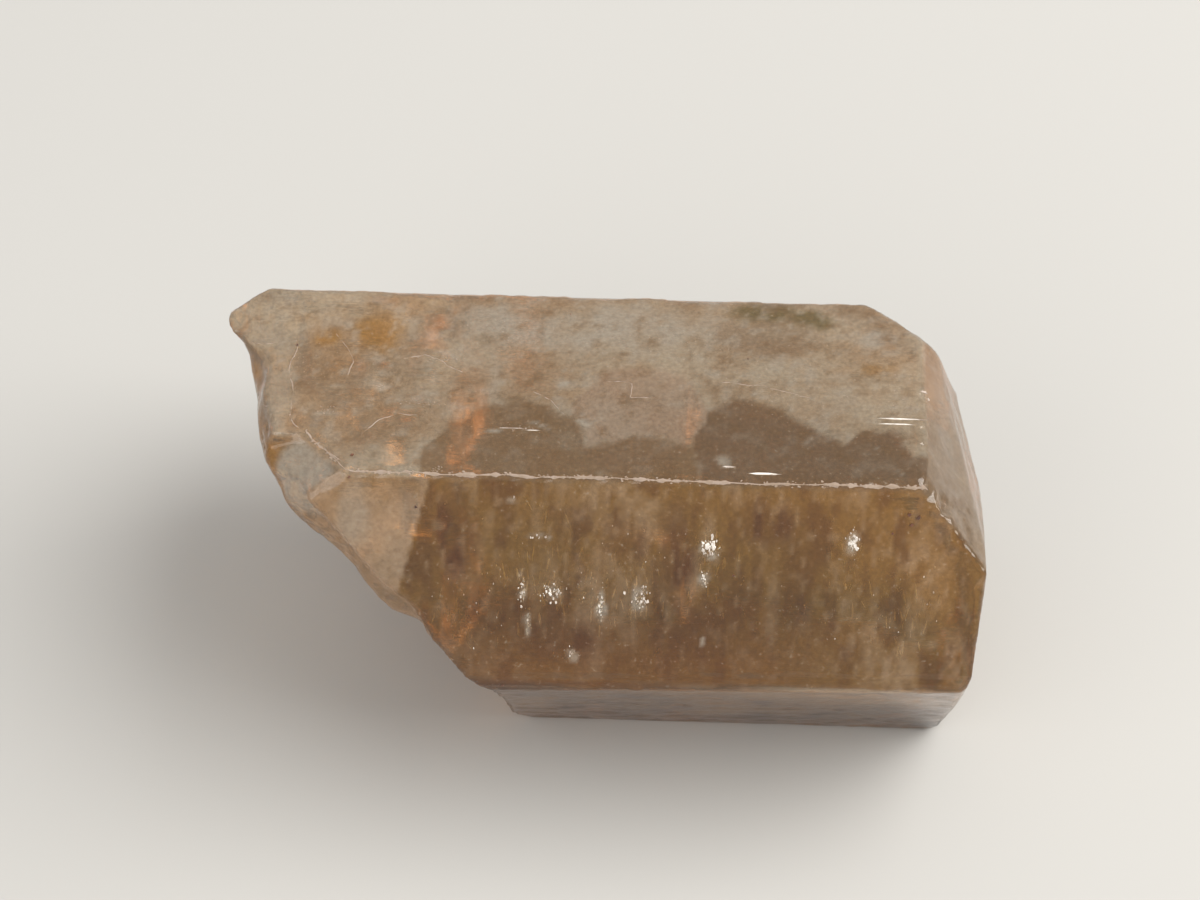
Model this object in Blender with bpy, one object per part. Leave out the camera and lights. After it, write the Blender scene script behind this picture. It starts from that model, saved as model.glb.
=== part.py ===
"""A pink apatite crystal lying on one of its prism faces.

It is one solid. The long axis runs along X. The +X end is a natural termination of flat
faces, the -X end is an undercut fracture with a beak at its upper back corner.
"""

import math

import bmesh
import bpy
from mathutils import Vector, noise

MM = 0.001

# Prism, measured from the crystal's own axis
SIDE = 7.58 * MM
HALF_HEIGHT = SIDE * math.sqrt(3) / 2
STOCK_HALF_LENGTH = 15.0 * MM
PRISM_STATIONS = 21
RESTING_FACE_EXTRA = 0.87 * MM
RESTING_FACE_FRONT = 0.15 * MM
RIDGE_FLAT = 0.11 * MM

# Growth ledge along the front edge, as shares of the front face's height at each end
LEDGE_TOP = (0.972, 0.841)
LEDGE_EDGE = (1.025, 0.925)
LEDGE_INSET = 0.05 * MM

# Termination at the +X end: distance of each face along the axis, and its slope
BASAL_X = 12.32 * MM
PYRAMID_SLOPE = math.radians(40.3)
PYRAMIDS = {
    "top": (90, 10.2 * MM),
    "upper_back": (30, 11.1 * MM),
    "lower_back": (-30, 11.4 * MM),
    "bottom": (-90, 11.35 * MM),
    "lower_front": (-150, 11.55 * MM),
}
CORNER_CUTS = (
    ((8.45, 3.79, 6.565), (0.482, 0.876, 0.30)),
    ((9.50, 3.055, 6.565), (0.578, 0.673, 0.462)),
    ((10.84, 2.43, 5.80), (0.836, 0.492, 0.243)),
    ((11.56, -1.06, 4.96), (0.911, 0.097, 0.400)),
    ((11.80, 0.90, 3.93), (0.974, 0.203, 0.103)),
    ((12.30, -5.50, 3.60), (0.995, -0.078, -0.055)),
    ((11.80, -7.28, 0.52), (0.72, -0.62, -0.31)),
)

# Small facet where the ridge meets the broken end, and how far back it goes
LEFT_FACET = ((-8.03, -3.69, 6.565), (-0.405, -0.378, 0.8325))
LEFT_FACET_BACK = -2.4 * MM

# Broken end: where it meets the front faces, as (height, x)
FRONT_BREAK = (
    (-6.565, -2.30),
    (-6.30, -2.75),
    (-5.29, -2.99),
    (-1.92, -3.12),
    (-0.30, -3.36),
    (0.05, -3.70),
    (0.40, -4.21),
    (1.59, -5.34),
    (2.48, -5.92),
    (3.06, -6.78),
    (4.37, -8.04),
    (5.67, -9.30),
    (6.565, -9.55),
)
# How far the fracture steps out behind that line, as (height, depth)
BREAK_STEP = (
    (2.10, 0.0),
    (2.45, 0.60),
    (2.80, 0.57),
    (3.10, 0.42),
    (3.65, 0.30),
    (4.30, 0.40),
    (4.80, 0.57),
    (5.40, 0.62),
    (5.90, 0.55),
    (6.565, 0.78),
)
STEP_START = 0.30 * MM
STEP_WIDTH = 1.05 * MM
# Below its border the fracture swells by this share of the step, over this height
STEP_SWELL = 0.58
SWELL_RISE = 1.2 * MM
BREAK_TILT = 0.18
# From each place of its border the fracture runs back and down at this slope, more or less
BREAK_DIP = math.radians(51.0)
BREAK_FOLLOW = 0.85
BEAK_REACH = 1.15 * MM
BEAK_CENTRE = (6.25 * MM, 6.5 * MM)
BEAK_SPREAD = (0.92 * MM, 0.52 * MM)
BACK_ROUNDING = 0.6 * MM
BACK_ROUNDING_WIDTH = 0.75 * MM
CONCHOIDAL_CENTRE = (-2.0 * MM, 7.5 * MM)
CONCHOIDAL_PITCH = 2.1 * MM
CONCHOIDAL_HEIGHT = 0.05 * MM
# Unevenness of the fracture, as (spacing, height), and how far in from the front it starts
BREAK_ROUGHNESS = ((4.2 * MM, 0.30 * MM), (1.5 * MM, 0.12 * MM), (0.6 * MM, 0.05 * MM))
ROUGHNESS_START = 1.2 * MM

# Rear outline of the resting face, scalloped by chips, as (x, y)
REAR_OUTLINE = (
    (-9.0, 0.0),
    (-5.3, 0.4),
    (-4.9, 1.7),
    (-4.6, 2.6),
    (-4.1, 3.5),
    (-3.2, 4.25),
    (-2.2, 4.5),
    (-1.3, 4.3),
    (-0.6, 3.7),
    (0.0, 3.1),
    (1.5, 2.9),
    (2.95, 3.0),
    (3.1, 4.5),
    (4.5, 4.38),
    (6.0, 4.0),
    (7.5, 3.7),
    (7.95, 3.2),
    (8.3, 3.55),
    (9.5, 3.4),
    (10.3, 2.6),
    (10.5, 2.3),
    (11.6, 2.3),
    (13.0, 2.0),
)
CHIP_SLOPE = 0.72
CHIP_UNEVENNESS = 0.35
CHIP_SPACING = (1.7 * MM, 1.1 * MM)

# Small chips on the edges: centre, radii and turn about X in degrees, in mm
CHIP_LUMPINESS = 0.28
LUMP_SPACING = 1.3
CHIPS = (
    ((-5.15, 3.95, 6.72), (0.42, 0.32, 0.24), 20),
    ((-4.05, 3.95, 6.72), (0.26, 0.28, 0.22), 40),
    ((-3.15, 3.96, 6.73), (0.34, 0.30, 0.25), 10),
    ((-0.55, 3.98, 6.74), (0.30, 0.28, 0.25), 60),
    ((5.85, 3.97, 6.73), (0.24, 0.26, 0.22), 15),
    ((9.70, 2.85, 6.72), (0.30, 0.34, 0.30), 35),
    ((10.72, -3.72, 6.50), (0.52, 0.50, 0.34), 25),
    ((11.25, -3.80, 5.95), (0.55, 0.62, 0.38), 55),
    ((11.85, -4.05, 5.35), (0.50, 0.60, 0.40), 20),
    ((12.40, -4.35, 4.70), (0.42, 0.62, 0.46), 70),
    ((12.52, -5.65, 3.75), (0.50, 0.70, 0.30), 50),
    ((12.45, -6.70, 1.60), (0.36, 0.50, 0.60), 0),
    ((-1.10, -3.92, -6.72), (0.40, 0.28, 0.26), 0),
    ((3.35, -3.90, -6.70), (0.30, 0.26, 0.24), 45),
    ((8.15, -3.92, -6.72), (0.36, 0.28, 0.26), 80),
    ((2.60, 8.18, -0.76), (0.55, 0.36, 0.42), 0),
    ((-4.20, 8.20, -0.70), (0.42, 0.34, 0.50), 0),
    ((7.90, 8.15, -0.80), (0.38, 0.30, 0.34), 0),
)

# Where in the noise the rough surfaces are taken from
NOISE_PLACE = 3.1

# Spacing of the rough surfaces' grids: fine where the steps are sharp
FINE_STEP = 0.24 * MM
COARSE_STEP = 0.46 * MM


def smooth(t):
    """An S curve from 0 to 1."""
    t = min(max(t, 0.0), 1.0)
    return t * t * (3.0 - 2.0 * t)


def along(stations, t):
    """The value at t between stations of (t, value)."""
    if t <= stations[0][0]:
        return stations[0][1]
    for (t0, v0), (t1, v1) in zip(stations, stations[1:]):
        if t <= t1:
            return v0 + (v1 - v0) * (t - t0) / (t1 - t0)
    return stations[-1][1]


def between(pair, t):
    """The value at a share t of the way from the first of a pair to the second."""
    return pair[0] + (pair[1] - pair[0]) * t


def front_point(share):
    """Where the front face is at a share of its height below the ridge."""
    return Vector((0.0, -SIDE / 2 * (1.0 + share), HALF_HEIGHT * (1.0 - share)))


def outline(t):
    """The prism's cross-section at a share t of the way from the -X end to the +X end."""
    drop = front_point(between(LEDGE_TOP, t))
    edge = front_point(between(LEDGE_EDGE, t)) + Vector((0.0, LEDGE_INSET, 0.0))
    # The two back faces keep their angles, so the wider resting face lowers their edge
    back_z = -RESTING_FACE_EXTRA * math.sqrt(3) / 2
    back_y = SIDE / 2 + (HALF_HEIGHT - back_z) / math.sqrt(3)
    return [
        Vector((0.0, -SIDE / 2 + RIDGE_FLAT / 2, HALF_HEIGHT)),
        front_point(RIDGE_FLAT / SIDE / 2),
        drop,
        edge,
        Vector((0.0, -SIDE / 2 - RESTING_FACE_FRONT, -HALF_HEIGHT)),
        Vector((0.0, SIDE / 2 + RESTING_FACE_EXTRA, -HALF_HEIGHT)),
        Vector((0.0, back_y, back_z)),
        Vector((0.0, SIDE / 2, HALF_HEIGHT)),
    ]


def prism():
    """The plain prism, longer than the crystal at both ends."""
    bm = bmesh.new()
    loops = []
    for k in range(PRISM_STATIONS):
        t = k / (PRISM_STATIONS - 1)
        x = between((-STOCK_HALF_LENGTH, STOCK_HALF_LENGTH), t)
        loops.append([bm.verts.new(p + Vector((x, 0.0, 0.0))) for p in outline(t)])
    count = len(loops[0])
    for near, far in zip(loops, loops[1:]):
        for i in range(count):
            j = (i + 1) % count
            bm.faces.new((near[i], near[j], far[j], far[i]))
    bm.faces.new(loops[0][::-1])
    bm.faces.new(loops[-1])
    bmesh.ops.triangulate(bm, faces=bm.faces[:])
    bmesh.ops.recalc_face_normals(bm, faces=bm.faces[:])
    return bm


def cut_flat(bm, point, normal):
    """Takes off what lies beyond a plane and closes the cut."""
    geometry = bm.verts[:] + bm.edges[:] + bm.faces[:]
    cut = bmesh.ops.bisect_plane(
        bm, geom=geometry, dist=1e-8, plane_co=point, plane_no=normal, clear_outer=True
    )
    edges = [e for e in cut["geom_cut"] if isinstance(e, bmesh.types.BMEdge)]
    bmesh.ops.contextual_create(bm, geom=edges)


def terminate(bm):
    """The +X end: basal face, pyramids and the bevels of its corners."""
    cut_flat(bm, Vector((BASAL_X, 0.0, 0.0)), Vector((1.0, 0.0, 0.0)))
    for angle, start in PYRAMIDS.values():
        turn = math.radians(angle)
        out = Vector((0.0, math.cos(turn), math.sin(turn)))
        far = out * HALF_HEIGHT + Vector((start, 0.0, 0.0))
        if angle == -30:
            far += out * RESTING_FACE_EXTRA * math.sqrt(3) / 2
        normal = out * math.sin(PYRAMID_SLOPE) + Vector((math.cos(PYRAMID_SLOPE), 0, 0))
        cut_flat(bm, far, normal)
    for point, normal in CORNER_CUTS:
        cut_flat(bm, Vector(point) * MM, Vector(normal).normalized())


def fracture_x(y, z):
    """The broken end's surface: its x at a place of the cross-section."""
    front = -SIDE + SIDE / 2 * abs(z) / HALF_HEIGHT
    behind = max(y - front, 0.0)
    back = SIDE / 2 + (HALF_HEIGHT - z) / math.sqrt(3) - y
    # Up the slope to the border: how high it is there, and how far behind the front
    advance = 1.0 / math.tan(BREAK_DIP) + 1.0 / math.sqrt(3)
    rise = max(min((y + SIDE - z / math.sqrt(3)) / advance, HALF_HEIGHT - z), 0.0)
    over = max(behind - advance * rise, 0.0)
    follow = BREAK_FOLLOW * smooth(behind / ROUGHNESS_START)
    x = along(FRONT_BREAK, (z + follow * rise) / MM) * MM
    x -= BREAK_TILT * (over + (1.0 - follow) * (behind - over))
    depth = along(BREAK_STEP, (z + rise) / MM) * MM
    x -= depth * smooth((behind - STEP_START) / STEP_WIDTH)
    x -= depth * STEP_SWELL * smooth(rise / SWELL_RISE)
    beak_y = (behind - BEAK_CENTRE[0]) / BEAK_SPREAD[0]
    beak_z = (z - BEAK_CENTRE[1]) / BEAK_SPREAD[1]
    x -= BEAK_REACH * math.exp(-beak_y * beak_y - beak_z * beak_z)
    x += BACK_ROUNDING * (1.0 - smooth(back / BACK_ROUNDING_WIDTH)) * smooth(z / HALF_HEIGHT)
    # Ripples and unevenness start a little behind the front faces
    free = smooth(behind / ROUGHNESS_START)
    fan = math.hypot(y - CONCHOIDAL_CENTRE[0], z - CONCHOIDAL_CENTRE[1])
    x += free * CONCHOIDAL_HEIGHT * math.sin(2.0 * math.pi * fan / CONCHOIDAL_PITCH)
    for spacing, height in BREAK_ROUGHNESS:
        x += free * height * noise.noise(Vector((NOISE_PLACE, y / spacing, z / spacing)))
    return x


def chipped_z(x, y):
    """The surface of the chips along the resting face's rear edge."""
    rear = along(REAR_OUTLINE, x / MM) * MM
    place = Vector((x / CHIP_SPACING[0], y / CHIP_SPACING[1], NOISE_PLACE))
    slope = CHIP_SLOPE * (1.0 + CHIP_UNEVENNESS * noise.noise(place))
    rise = y - rear
    return -HALF_HEIGHT + (slope * rise if rise > 0.0 else 2.0 * rise)


def spaced(stretches):
    """Places along a line of stretches (start, end, step)."""
    places = [stretches[0][0]]
    for start, end, step in stretches:
        count = int(math.ceil((end - start) / step))
        places += [start + (end - start) * (i + 1) / count for i in range(count)]
    return places


def terrain(height, first, second, low):
    """A closed block whose upper side is height(a, b), as points (a, b, c)."""
    bm = bmesh.new()
    rows = [[bm.verts.new((a, b, height(a, b))) for b in second] for a in first]
    for near, far in zip(rows, rows[1:]):
        for j in range(len(second) - 1):
            bm.faces.new((near[j], far[j], far[j + 1], near[j + 1]))
    rim = bmesh.ops.extrude_edge_only(bm, edges=[e for e in bm.edges if e.is_boundary])
    floor = [v for v in rim["geom"] if isinstance(v, bmesh.types.BMVert)]
    for v in floor:
        v.co.z = low
    bmesh.ops.contextual_create(bm, geom=[e for e in bm.edges if e.is_boundary])
    bmesh.ops.triangulate(bm, faces=bm.faces[:])
    return bm


def shown(name, bm):
    """An object made of a bmesh, which is used up."""
    bmesh.ops.recalc_face_normals(bm, faces=bm.faces[:])
    mesh = bpy.data.meshes.new(name)
    bm.to_mesh(mesh)
    bm.free()
    ob = bpy.data.objects.new(name, mesh)
    bpy.context.scene.collection.objects.link(ob)
    return ob


def break_cutter():
    """What is missing at the -X end."""
    reach = SIDE + 2.0 * MM
    across = spaced(((-reach, -2.0 * MM, FINE_STEP), (-2.0 * MM, reach, COARSE_STEP)))
    upright = spaced(((-reach, 0.0, COARSE_STEP), (0.0, reach, FINE_STEP)))
    bm = terrain(fracture_x, across, upright, -2.0 * STOCK_HALF_LENGTH)
    for v in bm.verts:
        v.co = Vector((v.co.z, v.co.x, v.co.y))
    return bm


def chip_cutter():
    """What is missing along the resting face's rear edge."""
    length = spaced(((-STOCK_HALF_LENGTH, STOCK_HALF_LENGTH, COARSE_STEP),))
    across = spaced(((1.2 * MM, SIDE + 2.0 * MM, COARSE_STEP),))
    return terrain(chipped_z, length, across, -1.6 * HALF_HEIGHT)


def facet_cutter():
    """What is missing above the small facet where the ridge meets the broken end."""
    bm = bmesh.new()
    bmesh.ops.create_cube(bm, size=3.0 * SIDE)
    cut_flat(bm, Vector(LEFT_FACET[0]) * MM, -Vector(LEFT_FACET[1]))
    cut_flat(bm, Vector((0.0, LEFT_FACET_BACK, 0.0)), Vector((0.0, 1.0, 0.0)))
    bmesh.ops.triangulate(bm, faces=bm.faces[:])
    return bm


def edge_chips():
    """Small rough lumps that take chips out of the edges."""
    bm = bmesh.new()
    for k, (centre, radii, angle) in enumerate(CHIPS):
        made = bmesh.ops.create_icosphere(bm, subdivisions=2, radius=1.0)
        turn = math.radians(angle)
        for v in made["verts"]:
            place = v.co * LUMP_SPACING + Vector((NOISE_PLACE * k, 0.0, 0.0))
            p = v.co * (1.0 + CHIP_LUMPINESS * noise.noise(place))
            p = Vector((p.x * radii[0], p.y * radii[1], p.z * radii[2]))
            y = p.y * math.cos(turn) - p.z * math.sin(turn)
            z = p.y * math.sin(turn) + p.z * math.cos(turn)
            v.co = (Vector((p.x, y, z)) + Vector(centre)) * MM
    return bm


def carve(ob, bm, name):
    """Takes a cutter's volume out of an object."""
    cutter = shown(name, bm)
    cutter.hide_render = True
    cutter.display_type = "WIRE"
    cut = ob.modifiers.new(name, "BOOLEAN")
    cut.operation = "DIFFERENCE"
    cut.solver = "EXACT"
    cut.use_self = name == "edge_chips"
    cut.object = cutter
    bpy.context.view_layer.update()
    graph = bpy.context.evaluated_depsgraph_get()
    mesh = bpy.data.meshes.new_from_object(ob.evaluated_get(graph))
    ob.modifiers.remove(cut)
    old = ob.data
    ob.data = mesh
    bpy.data.meshes.remove(old)
    bpy.data.objects.remove(cutter)


def settle(ob):
    """Cleans the mesh and puts the middle of its underside at the origin."""
    bm = bmesh.new()
    bm.from_mesh(ob.data)
    bmesh.ops.remove_doubles(bm, verts=bm.verts[:], dist=2e-6)
    bmesh.ops.dissolve_degenerate(bm, edges=bm.edges[:], dist=2e-6)
    bmesh.ops.dissolve_limit(
        bm, angle_limit=math.radians(0.05), verts=bm.verts[:], edges=bm.edges[:]
    )
    bmesh.ops.triangulate(bm, faces=bm.faces[:])
    low = Vector(min(v.co[k] for v in bm.verts) for k in range(3))
    high = Vector(max(v.co[k] for v in bm.verts) for k in range(3))
    middle = Vector(((low.x + high.x) / 2, (low.y + high.y) / 2, low.z))
    for v in bm.verts:
        v.co -= middle
    bmesh.ops.recalc_face_normals(bm, faces=bm.faces[:])
    bm.to_mesh(ob.data)
    bm.free()


def stone_material():
    """See-through stone of a brownish pink."""
    mat = bpy.data.materials.new("pink_apatite")
    mat.use_nodes = True
    shader = mat.node_tree.nodes["Principled BSDF"]
    shader.inputs["Base Color"].default_value = (0.55, 0.38, 0.26, 1.0)
    shader.inputs["Roughness"].default_value = 0.12
    shader.inputs["IOR"].default_value = 1.634
    shader.inputs["Transmission Weight"].default_value = 0.6
    return mat


def main():
    for ob in list(bpy.data.objects):
        bpy.data.objects.remove(ob, do_unlink=True)
    bm = prism()
    terminate(bm)
    crystal = shown("apatite_crystal", bm)
    carve(crystal, break_cutter(), "broken_end")
    carve(crystal, facet_cutter(), "left_facet")
    carve(crystal, chip_cutter(), "rear_chips")
    carve(crystal, edge_chips(), "edge_chips")
    settle(crystal)
    crystal.data.name = "apatite_crystal"
    crystal.data.materials.append(stone_material())


main()
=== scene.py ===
import math

import bmesh
import bpy
import numpy as np
from mathutils import Color, Matrix, Vector, kdtree
from mathutils.bvhtree import BVHTree


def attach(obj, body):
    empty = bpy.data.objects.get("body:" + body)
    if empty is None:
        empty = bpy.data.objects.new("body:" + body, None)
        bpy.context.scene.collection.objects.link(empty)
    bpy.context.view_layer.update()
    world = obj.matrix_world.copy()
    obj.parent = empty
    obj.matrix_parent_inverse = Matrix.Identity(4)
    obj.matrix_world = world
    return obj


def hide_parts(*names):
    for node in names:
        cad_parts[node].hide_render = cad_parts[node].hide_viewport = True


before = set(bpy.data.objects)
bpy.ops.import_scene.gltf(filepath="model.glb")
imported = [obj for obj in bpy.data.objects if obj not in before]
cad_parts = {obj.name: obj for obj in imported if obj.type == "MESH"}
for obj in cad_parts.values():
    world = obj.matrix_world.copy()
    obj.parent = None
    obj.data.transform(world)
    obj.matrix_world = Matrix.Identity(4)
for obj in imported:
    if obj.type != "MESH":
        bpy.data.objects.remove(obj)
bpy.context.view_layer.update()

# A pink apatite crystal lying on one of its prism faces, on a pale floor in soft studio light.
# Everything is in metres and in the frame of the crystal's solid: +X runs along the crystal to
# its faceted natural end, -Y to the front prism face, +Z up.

bl_info = {
    "name": "Apatite crystal",
    "version": (1, 0, 0),
    "blender": (4, 5, 0),
    "location": "3D View > Sidebar > Crystal",
    "description": "Builds a see-through apatite crystal with its inner fractures",
    "category": "Object",
}

MM = 0.001
NODE = "apatite_crystal"
BODY = "root"
COLOUR_LAYER = "stone_colour"
APATITE_IOR = 1.634

# The stage, in metres
ROOM_COLOUR = (1.0, 0.99, 0.97, 1.0)
LAMP_COLOUR = (1.0, 0.965, 0.91)
LAMP_SIZE = 0.34
LAMP_AIM = Vector((0.0, 0.0, 0.006))
MAIN_LIGHT = (0.23, 0.01, 0.27)
FILL_LIGHT = (-0.22, -0.26, 0.22)
FLOOR_DROP = 0.02 * MM
FLOOR_SIDES = 96
FLOOR_ROUGHNESS = 0.85
SENSOR_WIDTH = 36.0
NEAREST_SEEN = 1.0 * MM
FARTHEST_SEEN = 10.0

# The prism inside the solid: its axis, and the length of one side of its cross-section
AXIS = Vector((0.0643, -0.2690, 6.5645))
SIDE = 7.58
HALF_HEIGHT = SIDE * math.sqrt(3) / 2
TURN_FRONT = math.radians(60.0)
TOP_NORMAL = Vector((0.0, 0.0, 1.0))
FRONT_NORMAL = Vector((0.0, -math.sin(TURN_FRONT), math.cos(TURN_FRONT)))
RIDGE_NORMAL = (TOP_NORMAL + FRONT_NORMAL).normalized()
LOWER_REAR_NORMAL = -FRONT_NORMAL
LOWER_FRONT_NORMAL = Vector((0.0, -math.sin(TURN_FRONT), -math.cos(TURN_FRONT)))
DOWN_SLOPE = Vector((0.0, -math.cos(TURN_FRONT), -math.sin(TURN_FRONT)))
RIDGE = Vector((0.0, -SIDE / 2, HALF_HEIGHT))
ALONG = Vector((1.0, 0.0, 0.0))

# Small forms near the ends, in mm from the axis
# The small facet beside the break gets a painted highlight.
HIGHLIGHT_FACET = Vector((-9.2, -3.4, 5.7))
CHIPPED_CORNER = Vector((11.3, -4.2, 5.6))

# Long edges are those sharper than this angle; their points stand this far apart, in mm
SHARP_ANGLE = math.radians(14.0)
SHARP_SPACING = 0.05
# A flat prism face leans along the crystal and turns about it by no more than this
FLAT_LEAN = 0.02
FLAT_TURN = 1.5
# Ripples on the broken surfaces: their centre as y, z, and their spacing, in mm
RIPPLE_CENTRE = (-2.0, 14.0)
RIPPLE_SPACING = 0.9

# Where colours begin and where they are full, in mm: by the distance from the axis to a face
FACE_COLOURS = (6.36, 6.46)
# The lower front, lower rear and resting faces take painted shade within these distances.
LOWER_FRONT_COLOURS = (6.20, 6.40)
LOWER_REAR_COLOURS = (4.40, 5.20)
RESTING_COLOURS = (6.45, 6.50)
# and by the place along the crystal
BREAK_COLOURS = (-3.0, -4.5)
LOWER_BREAK_COLOURS = (-3.0, -4.0)
STAINED_BREAK = (-9.7, -10.3)
END_COLOURS = (10.3, 10.9)
# and by the distance down from the ridge
LEDGE_COLOURS = (7.0, 7.15)

# How far lines stand out of the stone and reach into it, and how thick a flake is, in mm
RIDGE_RISE, RIDGE_SUNK = 0.018, 0.04
CRACK_RISE, CRACK_SUNK = 0.012, 0.03
FLAKE_THICKNESS = 0.02

# Zones of the top face, in mm from the axis: x, y, half length, half width
# The lobes and the middle zone below are painted shade: the shaded floor under the crystal, as
# seen through the stone, painted on the top face; the middle zone is lighter.
LEFT_SHADOW_LOBE = (
    (-2.75, -3.70, 2.75, 2.95),
    (-4.30, -3.60, 1.30, 2.20),
    (1.20, -4.10, 2.60, 2.00),
)
MIDDLE_HALF_SHADOW = ((1.10, -1.40, 2.05, 2.20),)
RIGHT_SHADOW_LOBES = (
    (4.60, -4.40, 4.10, 3.75),
    (8.90, -4.10, 1.55, 2.45),
    (10.60, -4.10, 1.00, 1.75),
)
STEP_EDGE = 3.05
HAZE_CLOUDS = ((-0.60, 2.35, 4.40, 0.85), (8.90, 2.30, 0.50, 0.35), (10.60, 0.90, 0.40, 0.35))
LEFT_SHADE = ((-7.90, -0.40, 2.40, 2.40),)
BAND_END = -10.05
IRON_STAINS = ((-7.50, 1.85, 0.60, 0.80), (-9.10, 1.80, 0.35, 0.40))
GREEN_STREAK = ((5.10, 3.25, 1.00, 0.36), (6.60, 3.00, 0.85, 0.30))
GREEN_SHADE = ((5.20, 2.20, 1.60, 0.80),)
YELLOW_PATCH = ((8.75, 1.00, 0.45, 0.25),)
WHITE_SMUDGES = (
    (-5.27, 0.97, 0.55, 0.14),
    (-3.10, 2.44, 0.30, 0.20),
    (2.35, 2.40, 0.75, 0.20),
    (-0.20, 2.04, 0.60, 0.22),
    (-8.85, -1.33, 0.38, 0.16),
    (-7.15, -0.27, 0.16, 0.14),
    (-5.70, -0.93, 0.55, 0.13),
    (-0.47, -1.70, 0.26, 0.12),
    (-1.40, 0.15, 0.20, 0.10),
    (5.10, -0.30, 0.28, 0.08),
    (6.30, -1.90, 0.22, 0.12),
    (-3.30, -1.85, 0.28, 0.07),
    (-2.05, -1.90, 0.34, 0.07),
    (3.90, -2.95, 0.30, 0.10),
)

# Zones of the front face: x, distance down from the ridge, half width, half height
DARK_PATCHES = (
    (3.15, 5.40, 0.55, 0.85),
    (4.40, 4.00, 0.50, 0.90),
    (2.50, 2.60, 0.55, 1.50),
    (-3.20, 4.70, 0.90, 0.80),
    (-1.30, 5.60, 1.10, 0.70),
    (0.90, 2.00, 0.60, 0.80),
    (6.30, 3.20, 0.55, 1.60),
    (5.40, 1.40, 1.00, 0.70),
    (-4.70, 2.20, 0.70, 1.50),
)
FRONT_SMUDGES = (
    (3.53, 2.28, 0.24, 0.30),
    (3.40, 3.30, 0.12, 0.20),
    (8.00, 2.00, 0.18, 0.42),
    (-2.40, 3.80, 0.12, 0.50),
    (-1.45, 4.00, 0.28, 0.30),
    (0.10, 4.40, 0.14, 0.48),
    (1.38, 4.10, 0.32, 0.42),
    (-2.20, 5.00, 0.12, 0.50),
    (-0.80, 6.10, 0.20, 0.20),
    (-2.70, 0.75, 0.14, 0.14),
    (-1.90, 2.05, 0.45, 0.10),
    (3.35, 5.60, 0.08, 0.16),
)
PALE_VEILS = (
    (0.20, 4.20, 2.60, 1.30),
    (9.00, 5.20, 1.60, 1.20),
    (-4.60, 6.60, 1.60, 0.80),
    (0.30, 1.10, 1.60, 0.90),
    (10.40, 2.80, 0.90, 0.90),
    (11.60, 5.90, 0.40, 0.90),
)
PALE_WEDGE = ((-7.75, 1.50, 0.50, 1.10),)
# Straight border of the clear corner, which is painted paler for the light that shows through the
# stone: x at the ridge, x at its foot, and how far down that is
BORDER_HEAD = -5.33
BORDER_FOOT = -6.52
BORDER_DROP = 4.6
BORDER_SLOPE = (BORDER_FOOT - BORDER_HEAD) / BORDER_DROP

# Clusters of slivers on the front face, small crack flakes partly painted bright as glints: x,
# down, half width, half height, count, half length
FRONT_SPARKLES = (
    (-2.40, 3.80, 0.14, 0.60, 26, 0.11),
    (-1.45, 4.00, 0.34, 0.40, 40, 0.08),
    (-0.60, 3.70, 0.80, 0.60, 30, 0.07),
    (0.10, 4.40, 0.16, 0.55, 30, 0.08),
    (1.38, 4.10, 0.36, 0.50, 42, 0.08),
    (-2.20, 5.00, 0.14, 0.60, 26, 0.09),
    (-0.80, 6.10, 0.24, 0.24, 18, 0.07),
    (3.53, 2.28, 0.26, 0.32, 60, 0.09),
    (3.40, 3.40, 0.14, 0.30, 24, 0.08),
    (8.00, 2.00, 0.18, 0.46, 40, 0.10),
    (5.60, 4.30, 2.50, 1.80, 40, 0.06),
    (-3.50, 4.60, 1.50, 1.90, 40, 0.06),
    (9.60, 4.00, 1.60, 1.80, 40, 0.07),
    (1.00, 2.40, 3.50, 1.60, 40, 0.05),
)
# Painted glints on the front face: the brightest white flakes, which stand for reflections, given
# in the same way
FRONT_GLINTS = (
    (3.53, 2.25, 0.28, 0.30, 34, 0.13),
    (3.35, 3.30, 0.10, 0.18, 9, 0.09),
    (8.00, 1.95, 0.16, 0.36, 24, 0.13),
    (-1.45, 4.00, 0.32, 0.28, 24, 0.10),
    (0.10, 4.40, 0.08, 0.34, 8, 0.08),
    (1.38, 4.00, 0.30, 0.34, 24, 0.10),
    (-2.40, 4.00, 0.08, 0.50, 8, 0.10),
    (-2.70, 0.75, 0.07, 0.07, 3, 0.06),
    (-1.90, 2.05, 0.34, 0.08, 8, 0.07),
    (-0.80, 6.10, 0.12, 0.14, 5, 0.06),
)
# Veils inside the front: x, down, half width, half height, count, half length of a sliver
INNER_VEILS = (
    (-1.80, 3.80, 1.20, 1.80, 60, 0.40),
    (1.00, 4.20, 1.20, 1.40, 50, 0.35),
    (3.60, 3.20, 0.60, 1.40, 26, 0.30),
    (7.90, 2.80, 0.60, 1.20, 22, 0.30),
    (9.60, 4.60, 1.60, 1.40, 36, 0.35),
    (-4.20, 5.20, 1.20, 1.20, 22, 0.30),
)
# Bruised spots on the top face: x, y, half length, half width, count, half length of a flake
TOP_BRUISES = (
    (-8.85, -1.33, 0.30, 0.16, 24, 0.05),
    (-7.10, -0.30, 0.20, 0.13, 12, 0.04),
    (-5.70, -0.93, 0.60, 0.14, 30, 0.05),
    (-5.27, 0.95, 0.55, 0.12, 22, 0.05),
    (-3.40, 2.30, 1.60, 0.60, 60, 0.03),
    (1.50, 1.90, 2.80, 1.00, 110, 0.03),
    (5.80, 0.20, 2.60, 1.60, 110, 0.03),
    (-2.60, -1.80, 1.20, 0.30, 22, 0.05),
    (-5.10, -3.62, 0.25, 0.10, 22, 0.05),
    (-9.60, 0.60, 0.90, 1.40, 40, 0.03),
    (9.80, 0.20, 1.00, 1.20, 40, 0.04),
)
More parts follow.
